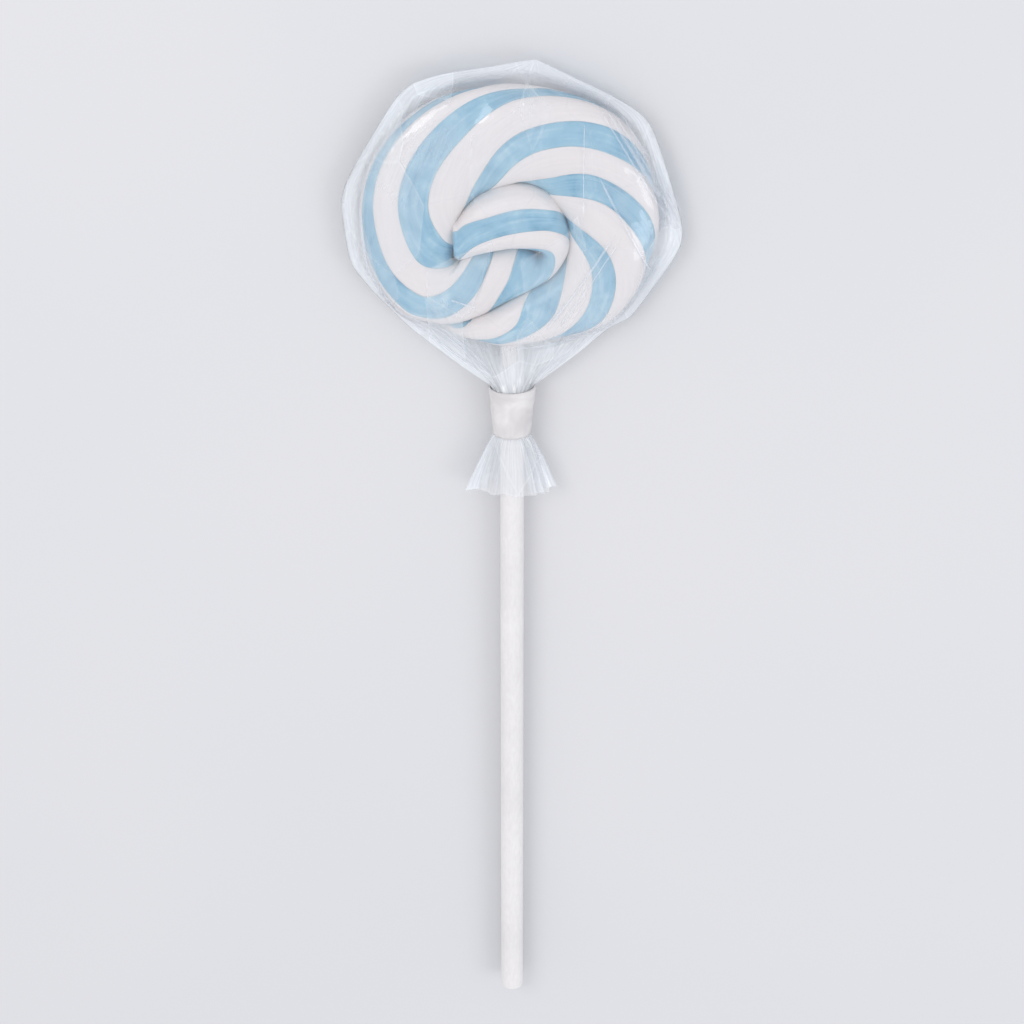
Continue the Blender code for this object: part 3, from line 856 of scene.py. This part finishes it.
# %% Creases
# points that each crease runs through, and the width of its strip
CREASES = [([(16.8, 27.0), (16.7, 15.0), (16.9, 2.7)], 0.30),
           ([(20.3, 13.6), (24.0, 5.8), (27.1, 0.1), (33.9, -13.1)], 0.60),
           ([(19.8, 30.0), (29.6, 14.0), (39.6, -3.6)], 0.45),
           ([(21.2, 30.0), (30.8, 14.4), (40.4, -2.8)], 0.80),
           ([(22.6, 29.6), (32.2, 14.0), (40.8, -1.2)], 0.35),
           ([(24.6, 28.6), (33.8, 13.6), (41.2, 0.4)], 0.50),
           ([(8.1, -26.0), (17.0, -13.5), (24.4, -1.1)], 0.60),
           ([(9.8, -27.0), (18.4, -14.6), (26.0, -1.8)], 0.30),
           ([(-14.9, -18.6), (-8.1, -20.8)], 0.40),
           ([(-2.7, -32.3), (10.0, -30.4), (23.7, -26.4)], 0.50),
           ([(-35.9, 4.8), (-35.0, -11.3), (-30.3, -20.8), (-24.8, -26.2)], 0.70),
           ([(-24.0, -24.0), (-14.0, -31.0), (-4.4, -41.0)], 0.70),
           ([(-18.0, -26.5), (-11.0, -32.0), (-3.4, -41.0)], 0.45),
           ([(-27.5, -24.5), (-17.0, -32.5), (-5.0, -41.5)], 0.50),
           ([(19.0, -30.0), (12.5, -35.5), (5.2, -42.0)], 0.60)]
CREASE_STEPS = 60
CREASE_SOFT = 5.0           # its corners are rounded over so many steps
CREASE_HIGH = 0.09
CREASE_OFF = 0.16           # its middle lies this far above film and candy
CREASE_END, CREASE_FADE = 0.12, 9.0     # how slim its ends are, and how fast it widens
CREASE_SECTION = [(-0.5, -0.3), (-0.47, 0.5), (-0.3, 0.85), (0.0, 1.0), (0.3, 0.85),
                  (0.47, 0.5), (0.5, -0.3), (0.0, -0.5)]


def crease(points, wide):
    """A low smooth strip on the film along a soft line through some points."""
    points = np.array(points)
    share = np.linspace(0, 1, CREASE_STEPS)
    knots = np.linspace(0, 1, len(points))
    x, y = [softened(np.interp(share, knots, column), CREASE_SOFT) for column in points.T]
    x[0], y[0] = points[0]
    x[-1], y[-1] = points[-1]
    along_x, along_y = np.gradient(x), np.gradient(y)
    run = np.hypot(along_x, along_y)
    slim = np.clip(CREASE_FADE * np.minimum(share, 1 - share), CREASE_END, 1) * wide
    columns = []
    for across_it, up in CREASE_SECTION:
        at_x = x - along_y / run * across_it * slim
        at_y = y + along_x / run * across_it * slim
        level = np.maximum(read_grid(front_sheet, at_x, at_y),
                           read_grid(candy_top, at_x, at_y)) + CREASE_OFF
        columns.append(np.column_stack([at_x, at_y, level + up * CREASE_HIGH * slim / wide]))
    return loft("crease", np.stack(columns, axis=1))


def joined(name, things):
    """Makes one piece of several, with its faces turned outside."""
    work = bmesh.new()
    for thing in things:
        work.from_mesh(thing.data)
        bpy.data.objects.remove(thing)
    bmesh.ops.recalc_face_normals(work, faces=work.faces[:])
    mesh = bpy.data.meshes.new(name)
    work.to_mesh(mesh)
    work.free()
    return placed_mesh(name, mesh)


# %% [markdown]
# ## Where the film is cloudy, and where light is painted on it
# Clear film turns milky where it is folded on itself and where it is gathered. A number from 0 to 1
# is
# kept for each point of the film: high in the pleats below the head, in the skirt and in the welded
# margin, and low over the face, with a few soft patches and a veil beside each fold line. The soft
# patches are milky film and painted sheen at once, and the margin's cloudiness is also painted light
# over the shade beside the head's top.

# %% Cloudiness of the film
# the margin's share also holds painted light, which lightens the shade beside the head's top
FACE_HAZE, GATHER_HAZE, SKIRT_HAZE, MARGIN_HAZE_AND_LIGHT = 0.05, 0.57, 0.30, 0.34
GATHER_TOP, GATHER_FADE = -27.0, 12.0   # y where the gathered film starts to cloud, and how soon
SKIRT_TOP, SKIRT_FADE = BAND_END_Y + 2, 5.0
MARGIN_RADIUS, MARGIN_FADE = 36.0, 1.5
CREASE_HAZE = 0.15
# x, y, radius and strength of soft patches of milky film that are also painted sheen
HAZE_AND_SHEEN_PATCHES = [(-23, 21, 12, 0.20), (31, 14, 8, 0.14), (-20, -28, 8, 0.22), (20, -27, 8, 0.22),
           (38, -4, 6, 0.20), (2, 33, 7, 0.14)]
# fold lines from x, y to x, y, with the width and strength of the veil on one side
VEILS = [(20.3, 13.6, 33.9, -13.1, 9.0, 0.14), (21.7, 28.4, 40.2, -2.8, 9.0, 0.20),
         (10.6, -27.0, 25.6, -6.0, 7.0, 0.14), (-30.3, -20.8, -35.9, 4.8, 7.0, 0.24),
         (16.8, 27.0, 16.9, 2.7, 3.5, 0.10), (-4.4, -41.0, -24.0, -24.0, 8.0, 0.20),
         (-8.0, 30.0, -34.0, 14.0, 9.0, 0.12), (22.0, -28.0, 4.0, -33.0, 5.0, 0.16)]
VEIL_EDGE = 0.4             # a veil starts within this distance of its fold line


def film_haze_and_painted_light(points):
    x, y, z = points[..., 0], points[..., 1], points[..., 2]
    gathered = np.clip((GATHER_TOP - y) / GATHER_FADE, 0, 1) ** 0.8
    in_skirt = np.clip((SKIRT_TOP - y) / SKIRT_FADE, 0, 1)
    haze_and_painted_light = (FACE_HAZE + (GATHER_HAZE - FACE_HAZE) * gathered
            - (GATHER_HAZE - SKIRT_HAZE) * in_skirt)
    # soft patches: milky film and painted sheen
    for at_x, at_y, wide, strength in HAZE_AND_SHEEN_PATCHES:
        gap = np.hypot(x - at_x, y - at_y) / wide
        haze_and_painted_light = haze_and_painted_light + strength * np.exp(-gap ** 2)
    for x0, y0, x1, y1, wide, strength in VEILS:
        run = math.hypot(x1 - x0, y1 - y0)
        share = ((x - x0) * (x1 - x0) + (y - y0) * (y1 - y0)) / run ** 2
        gap = ((x - x0) * (y1 - y0) - (y - y0) * (x1 - x0)) / run
        ends = np.clip(1.5 - 1.5 * abs(2 * share - 1), 0, 1)
        left_of_it = np.clip(-gap / VEIL_EDGE, 0, 1) * np.exp(-np.clip(-gap, 0, None) / wide)
        haze_and_painted_light = haze_and_painted_light + strength * left_of_it * ends * (z > STICK_Z)
    # the welded margin: doubled, milky film, and painted light over the shade beside the head's top
    margin = np.clip((np.hypot(x, y) - MARGIN_RADIUS) / MARGIN_FADE, 0, 1) * (y > HEAD_FOOT)
    return np.clip(haze_and_painted_light + MARGIN_HAZE_AND_LIGHT * margin, 0, 1)


print("haze on the face, in the gathers and in the skirt:", FACE_HAZE, GATHER_HAZE, SKIRT_HAZE)


# %% [markdown]
# ## Film
# The bag is cast polypropylene: clear, very smooth, index 1.5, with a mirror gleam that grows at
# grazing angles. It is far too thin to bend what is seen through it, so it is drawn as a see-through
# sheet with a gleam and, where the film is cloudy, a milky coat with fine stretch lines. The same
# milky coat also carries painted sheen and painted light where the haze numbers hold them.

# %% Film material
STRETCH_WIDE, STRETCH_LONG = 0.77, 25.0     # stretch lines, drawn coarse enough to show
FACET_WIDE = 11.76          # flat facets between faint folds
FACET_TURN = 0.55           # radians that the facets are turned from the bag's own direction
DENT_WIDE = 7.69            # shallow dents that break up the gleam


def cast_polypropylene():
    """Clear cast film: a mirror gleam, fine stretch lines, flat facets and a milky haze that also
    carries painted sheen.
    """
    made, tree = new_material("cast_polypropylene_film")
    grain = add(tree, "Attribute", attribute_name="grain").outputs["Vector"]
    # the haze numbers also hold painted sheen and painted light, in soft patches and in the margin
    haze_and_painted_light = add(tree, "Attribute", attribute_name="haze_and_painted_light").outputs["Fac"]
    along_film = add(tree, "Mapping", {
        "Vector": grain, "Scale": (1 / STRETCH_WIDE, 1 / STRETCH_LONG, 1.0)})
    lines = add(tree, "TexNoise", {"Vector": along_film, "Scale": 1.0, "Detail": 4.0,
                                   "Roughness": 0.7})
    line = add(tree, "MapRange", {"Value": lines, "From Min": 0.42, "From Max": 0.72,
                                  "To Min": 0.70, "To Max": 1.30})
    place = add(tree, "TexCoord").outputs["Object"]
    turned = add(tree, "Mapping", {"Vector": place, "Rotation": (0.0, 0.0, FACET_TURN),
                                   "Scale": (1.0, 0.6, 0.3)})
    flat = add(tree, "TexVoronoi", {"Vector": turned, "Scale": per_metre(FACET_WIDE)})
    veil = add(tree, "MapRange", {"Value": flat.outputs["Color"], "From Min": 0.42,
                                  "From Max": 0.66, "To Min": 0.0, "To Max": 0.17})
    border = add(tree, "TexVoronoi", {"Vector": turned, "Scale": per_metre(FACET_WIDE)},
                 feature="DISTANCE_TO_EDGE")
    fold = add(tree, "MapRange", {"Value": border, "From Min": 0.002, "From Max": 0.030,
                                  "To Min": 0.07, "To Max": 0.0})
    folded = add(tree, "Math", {0: veil, 1: fold}, operation="ADD")
    streaked = add(tree, "Math", {0: haze_and_painted_light, 1: line}, operation="MULTIPLY")
    milk_and_painted_light = add(tree, "Math", {0: streaked, 1: folded}, operation="ADD", use_clamp=True)
    dents = add(tree, "TexVoronoi", {"Vector": place, "Scale": per_metre(DENT_WIDE)},
                feature="SMOOTH_F1")
    dent = add(tree, "Bump", {"Height": dents, "Strength": 0.16, "Distance": 1.2 * MM})
    skin = add(tree, "BsdfPrincipled", {"Base Color": linear("#f3f8fc"), "Roughness": 0.35,
                                        "IOR": 1.5, "Normal": dent})
    glow = add(tree, "BsdfTranslucent", {"Color": linear("#f3f8fc")})
    cloudy = add(tree, "MixShader", {0: 0.25, 1: skin, 2: glow})
    clear = add(tree, "BsdfTransparent", {"Color": linear("#fefeff")})
    body = add(tree, "MixShader", {0: milk_and_painted_light, 1: clear, 2: cloudy})
    facing = add(tree, "LayerWeight", {"Blend": 0.5, "Normal": dent}).outputs["Facing"]
    steep = add(tree, "Math", {0: facing, 1: 4.0}, operation="POWER")
    gleam = add(tree, "MapRange", {"Value": steep, "To Min": 0.05, "To Max": 0.50})
    mirror = add(tree, "BsdfGlossy", {"Roughness": 0.09, "Normal": dent,
                                      "Color": linear("#ffffff")})
    return finished(made, add(tree, "MixShader", {0: gleam, 1: body, 2: mirror}))


# %% [markdown]
# ## The bag
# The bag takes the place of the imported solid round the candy. Its creases are a piece of their own,
# of the same film, a little cloudier because the film is doubled there.

# %% Make the bag
film = cast_polypropylene()
dress(film_bag(), film, "clear_film", "wrapper")
creases = joined("film_creases", [crease(*sizes) for sizes in CREASES])
points = points_of(creases)
note_grain(creases, 0.0, points[:, 1] * 4)      # their stretch lines run across them
note_haze_and_painted_light(creases, np.full(len(points), CREASE_HAZE))
dress(creases, film, "clear_film")

# %% [markdown]
# ## The tape
# One short strip of frosted tape holds the gathered film on the stick. It goes round a little more
# than once, so its radius is a slow spiral with a small step where the end lies on the start. Such
# tape is matt acetate, whose fine frosted face hides most of what is under it.

# %% Tape band
TAPE_SIDES = 96
TAPE_ROWS, TAPE_INNER_ROWS = 24, 12
TAPE_IN, TAPE_OUT = 0.40, 0.72      # its two faces' distance from the gathered film
TAPE_STEP = 0.14            # the step where the strip's end lies on its start
TAPE_END = math.radians(62)     # where the strip ends, seen from the right over the top
TAPE_CRUSH = 0.10           # how far it is squeezed out of round
TAPE_SKEW = 0.15            # and how far out of line its edges run


def tape_band():
    turn = np.linspace(0, 2 * np.pi, TAPE_SIDES, endpoint=False) + TAPE_END
    spiral = TAPE_STEP * (np.arange(TAPE_SIDES) / (TAPE_SIDES - 1))
    rows = []
    shares = np.concatenate((np.linspace(0, 1, TAPE_ROWS), [1.0],
                             np.linspace(1, 0, TAPE_INNER_ROWS), [0.0]))
    for place, share in enumerate(shares):
        outside = place < TAPE_ROWS
        grow = TAPE_OUT + spiral if outside else TAPE_IN
        grow = grow + TAPE_CRUSH * math.sin(9 * share) * np.sin(3 * turn + 4 * share) * outside
        wide, high, y = neck_size(share)
        rows.append(np.column_stack([(wide + grow) * np.cos(turn),
                                     y + TAPE_SKEW * np.sin(turn + 1.0),
                                     STICK_Z + (high + grow) * np.sin(turn)]))
    rows.append(rows[0])
    return outward(loft("tape_wrap", rows, caps=False))


# %% Tape material
FROST_GRIT = 0.4            # real frosting is far finer, and would not show
CRINKLE_WIDE = 7.14


def frosted_tape():
    """Matt acetate office tape: a fine frosted face with soft crinkles."""
    made, tree = new_material("frosted_acetate_tape")
    place = add(tree, "TexCoord").outputs["Object"]
    frost = add(tree, "TexNoise", {"Vector": place, "Scale": per_metre(FROST_GRIT),
                                   "Detail": 2.0})
    crinkle = add(tree, "TexNoise", {"Vector": place, "Scale": per_metre(CRINKLE_WIDE),
                                     "Detail": 2.0, "Distortion": 1.0})
    tint = add(tree, "ValToRGB", {"Fac": crinkle}, stops=[(0.35, "#dbd9da"), (0.65, "#e2e1e1")])
    height = add(tree, "Math", {0: frost, 1: crinkle}, operation="ADD")
    grit = add(tree, "Bump", {"Height": height, "Strength": 0.06, "Distance": 0.3 * MM})
    shader = add(tree, "BsdfPrincipled", {"Base Color": tint, "Roughness": 0.55, "IOR": 1.48,
                                          "Normal": grit})
    cover = add(tree, "MapRange", {"Value": crinkle, "From Min": 0.3, "From Max": 0.7,
                                   "To Min": 0.80, "To Max": 0.95})
    clear = add(tree, "BsdfTransparent")
    return finished(made, add(tree, "MixShader", {0: cover, 1: clear, 2: shader}))


dress(tape_band(), frosted_tape(), "frosted_tape", "tape_band")

# %% [markdown]
# ## The stick
# A lollipop stick is paper rolled up tight and cut to length. Its section is a spiral, so a faint
# ledge runs along it where the sheet ends, and its foot has a slightly crushed, rounded cut. It is
# a loft of rings from the candy to the foot, then round the cut's edge and in to its middle.

# %% Stick
STICK_SIDES = 64
STICK_RINGS, CUT_RINGS = 70, 5
PAPER_LEDGE = 0.06
PAPER_END = math.radians(118)
PAPER_TWIST = 0.0012        # radians that the ledge turns in a millimetre
CUT_ROUND = 0.35
CUT_SUNK = 0.06             # the cut face lies this far inside the foot's edge


def rolled_stick():
    share = np.arange(STICK_SIDES) / (STICK_SIDES - 1)
    turn = 2 * np.pi * np.arange(STICK_SIDES) / STICK_SIDES + PAPER_END
    reach = STICK_RADIUS - PAPER_LEDGE * (1 - share)
    body = np.linspace(STICK_TOP, STICK_FOOT + CUT_ROUND, STICK_RINGS)
    rings = [(y, 1.0, 0.0) for y in body]       # place, scale and how much slimmer
    for step in range(1, CUT_RINGS + 1):
        angle = math.pi / 2 * step / CUT_RINGS
        rings.append((STICK_FOOT + CUT_ROUND * (1 - math.sin(angle)), 1.0,
                      CUT_ROUND * (1 - math.cos(angle))))
    rings += [(STICK_FOOT + CUT_SUNK, scale, CUT_ROUND) for scale in (0.62, 0.34, 0.10)]
    rows = []
    for y, scale, less in rings:
        radius = (reach - less) * scale
        angle = turn + y * PAPER_TWIST
        rows.append(np.column_stack([radius * np.cos(angle), np.full(STICK_SIDES, y),
                                     STICK_Z + radius * np.sin(angle)]))
    return outward(loft("paper_stick", rows))


# %% Paper
FIBRE_WIDE, FIBRE_LONG = 0.714, 2.38        # real fibres are finer, and would not show
PAPER_PATCH = 16.67         # patches where the paper is a shade lighter or darker


def rolled_paper():
    """White kraft paper, rolled and glued: matt, with fibres along the stick."""
    made, tree = new_material("rolled_kraft_paper")
    place = add(tree, "TexCoord").outputs["Object"]
    wide, long = per_metre(FIBRE_WIDE), per_metre(FIBRE_LONG)
    fibres = add(tree, "Mapping", {"Vector": place, "Scale": (wide, long, wide)})
    fibre = add(tree, "TexNoise", {"Vector": fibres, "Scale": 1.0, "Detail": 3.0,
                                   "Roughness": 0.6})
    patch = add(tree, "TexNoise", {"Vector": place, "Scale": per_metre(PAPER_PATCH),
                                   "Detail": 2.0})
    both = add(tree, "Math", {0: fibre, 1: patch}, operation="ADD")
    mean = add(tree, "Math", {0: both, 1: 0.5}, operation="MULTIPLY")
    tint = add(tree, "ValToRGB", {"Fac": mean}, stops=[(0.36, "#d9d8d8"), (0.64, "#e3e2e2")])
    rough = add(tree, "Bump", {"Height": fibre, "Strength": 0.22, "Distance": 0.2 * MM})
    shader = add(tree, "BsdfPrincipled", {"Base Color": tint, "Roughness": 0.7, "IOR": 1.5,
                                          "Normal": rough})
    return finished(made, shader)


dress(rolled_stick(), rolled_paper(), "rolled_paper", "stick")

# %% [markdown]
# ## The camera
# The camera stands where a person would who leans over the lollipop from its top: 22 degrees off
# the face's straight-on line, two thirds of a metre away, with the head at the top of the view. Its
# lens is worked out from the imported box, so that the whole length fills nine tenths of the view.

# %% Camera
EYE_DISTANCE = 0.685
EYE_TILT = math.radians(22)
FRAME_FILL = 0.90
SENSOR = 36.0


def look_at(eye, target, up):
    """Camera matrix at eye that looks at target with the up direction upwards in the picture."""
    back = (eye - target).normalized()
    right = up.cross(back).normalized()
    turn = Matrix((right, back.cross(right), back)).transposed()
    return Matrix.Translation(eye) @ turn.to_4x4()


def make_camera():
    eye = Vector((0, math.sin(EYE_TILT), math.cos(EYE_TILT))) * EYE_DISTANCE
    top = (Vector((0, cad_high.y, 0)) - eye).normalized()
    foot = (Vector((0, cad_low.y, 0)) - eye).normalized()
    opening = top.angle(foot) / FRAME_FILL
    data = bpy.data.cameras.new("camera")
    data.sensor_width = SENSOR
    data.lens = SENSOR / 2 / math.tan(opening / 2)
    camera = bpy.data.objects.new("camera", data)
    camera.matrix_world = look_at(eye, eye + (top + foot) / 2, Vector((0, 1, 0)))
    bpy.context.scene.collection.objects.link(camera)
    bpy.context.scene.camera = camera
    print("lens of", round(data.lens), "mm")


make_camera()

# %% [markdown]
# ## The light
# Clear film and glossy sugar need something soft and bright to reflect. The room is a bright, nearly
# white surround that does most of the work. A soft box on the left shapes the candy, and a weaker
# one on the right keeps the shadows open. The plain view transform keeps the pale colours as set.

# %% Light
LIT_PLACE = Vector((0, -0.04, 0))       # the lights look at the lower head, in metres


def soft_box(name, place, size, watts, colour):
    data = bpy.data.lights.new(name, "AREA")
    data.size = size
    data.energy = watts
    data.color = linear(colour)[:3]
    lamp = bpy.data.objects.new(name, data)
    lamp.matrix_world = look_at(Vector(place), LIT_PLACE, Vector((0, 1, 0)))
    bpy.context.scene.collection.objects.link(lamp)


def make_room(colour, strength):
    room = bpy.data.worlds.new("room")
    room.use_nodes = True
    sky = room.node_tree.nodes["Background"]
    sky.inputs["Color"].default_value = linear(colour)
    sky.inputs["Strength"].default_value = strength
    bpy.context.scene.world = room


make_room("#f5f4f7", 1.03)
soft_box("key_soft_box", (-0.45, 0.35, 0.75), 0.45, 1.9, "#fffdfb")
soft_box("fill_soft_box", (0.60, -0.20, 0.62), 0.40, 1.0, "#f8faff")
bpy.context.scene.view_settings.view_transform = "Standard"
print("lights:", [lamp.name for lamp in bpy.data.lights])

# %% [markdown]
# ## The floor
# The floor is studio paper, wide enough to have no edge in sight. It is a stage, not a part of the
# lollipop. It lies a hair lower than the candy's back, to leave room for the film between them.

# %% Floor
FLOOR_REACH = 3000.0
FLOOR_DROP = 0.08
MOTTLE_WIDE = 166.7


def studio_paper():
    """Smooth matt background paper, pale cool grey, with the faintest mottling."""
    made, tree = new_material("studio_paper")
    place = add(tree, "TexCoord").outputs["Object"]
    mottle = add(tree, "TexNoise", {"Vector": place, "Scale": per_metre(MOTTLE_WIDE),
                                    "Detail": 2.0})
    tint = add(tree, "ValToRGB", {"Fac": mottle}, stops=[(0.3, "#d2d4d7"), (0.7, "#d5d6d8")])
    shader = add(tree, "BsdfPrincipled", {"Base Color": tint, "Roughness": 0.9,
                                          "Specular IOR Level": 0.2})
    return finished(made, shader)


floor = loft("floor", [[(x, y, -FLOOR_DROP) for x in (-FLOOR_REACH, FLOOR_REACH)]
                       for y in (-FLOOR_REACH, FLOOR_REACH)], around=False, caps=False)
floor.data.materials.append(studio_paper())
print("the floor lies", FLOOR_DROP, "mm below the candy")
